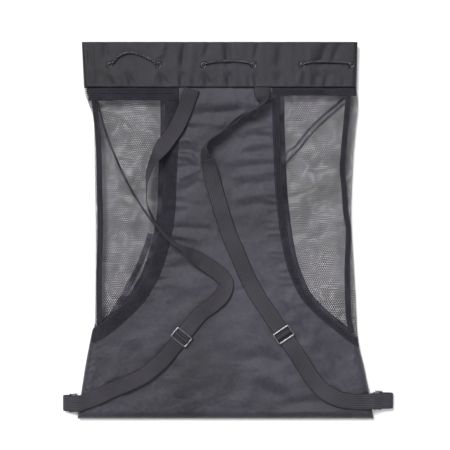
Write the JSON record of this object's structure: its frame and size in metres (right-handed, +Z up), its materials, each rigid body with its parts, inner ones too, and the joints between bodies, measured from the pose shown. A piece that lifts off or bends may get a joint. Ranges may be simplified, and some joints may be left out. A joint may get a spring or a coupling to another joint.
{
  "type": "drawstring backpack",
  "caption": "Mesh and nylon drawstring backpack lying flat, with an eyeleted collar, a woven drawcord with a cord lock, and webbing straps with sliders and rings.",
  "frame": {"origin": "middle of the bag's footprint on the surface that it lies on", "axes": "+X across the bag to the right of a viewer above its strap side, +Y from the bottom seam towards the mouth, +Z up from the floor through the strap side"},
  "size_m": [0.5308, 0.604, 0.0447],
  "materials": {
    "nylon": "satin nylon",
    "mesh": "knitted net",
    "binding": "ribbed tape",
    "webbing": "woven webbing",
    "cord": "braided",
    "eyelet": "dark nickel",
    "gunmetal": "polished gunmetal",
    "spring_steel": "drawn wire",
    "plastic": "fine matte"
  },
  "bodies": {
    "bag": {"back_panel": "nylon", "front_panel": "nylon", "mesh_back_left": "mesh", "mesh_back_right": "mesh", "mesh_front_left": "mesh", "mesh_front_right": "mesh", "mesh_side_left": "mesh", "mesh_side_right": "mesh", "side_seam_left": "nylon", "side_seam_right": "nylon", "bottom_seam": "nylon", "collar_back": "nylon", "collar_front": "nylon", "collar_side_left": "nylon", "collar_side_right": "nylon", "binding_top_left": "binding", "binding_top_right": "binding", "binding_inner_left": "binding", "binding_inner_right": "binding", "binding_side_left": "binding", "binding_side_right": "binding", "front_binding_left": "binding", "front_binding_right": "binding", "eyelets_back": "eyelet", "eyelets_front": "eyelet", "washers_back": "eyelet", "washers_front": "eyelet", "drawcord": "cord", "cord_tail_left": "cord", "cord_tail_right": "cord", "cord_knots": "cord", "strap_left": "webbing", "strap_right": "webbing", "ring_tab_left": "webbing", "ring_tab_right": "webbing"},
    "left_slider": {"slider_left": "gunmetal", "slider_bight_left": "webbing"},
    "right_slider": {"slider_right": "gunmetal", "slider_bight_right": "webbing"},
    "left_ring": {"ring_left": "gunmetal"},
    "right_ring": {"ring_right": "gunmetal"},
    "cord_lock": {"cord_lock_body": "plastic", "cord_lock_spring": "spring_steel"},
    "cord_lock_button": {"cord_lock_plunger": "plastic"}
  },
  "joints": [
    {"name": "slider_left_slide", "type": "slide", "parent": "bag", "child": "left_slider", "axis": [-0.6293, -0.7771, 0], "range_m": [-0.02, 0.02]},
    {"name": "slider_right_slide", "type": "slide", "parent": "bag", "child": "right_slider", "axis": [0.5592, -0.829, 0], "range_m": [-0.02, 0.02]},
    {"name": "ring_left_hinge", "type": "hinge", "parent": "bag", "child": "left_ring", "pos_m": [-0.2435, -0.277, 0.0066], "axis": [0, 1, 0], "range_deg": [-10, 10]},
    {"name": "ring_right_hinge", "type": "hinge", "parent": "bag", "child": "right_ring", "pos_m": [0.2345, -0.273, 0.0066], "axis": [0, -1, 0], "range_deg": [-10, 10]},
    {"name": "cord_lock_slide", "type": "slide", "parent": "bag", "child": "cord_lock", "axis": [1, 0, 0], "range_m": [-0.012, 0.045]},
    {"name": "cord_lock_press", "type": "slide", "parent": "cord_lock", "child": "cord_lock_button", "axis": [0, -1, 0], "range_m": [0, 0.0022], "stiffness_N_per_m": 400, "springref_m": -0.004, "deforming": ["cord_lock_spring"]}
  ]
}
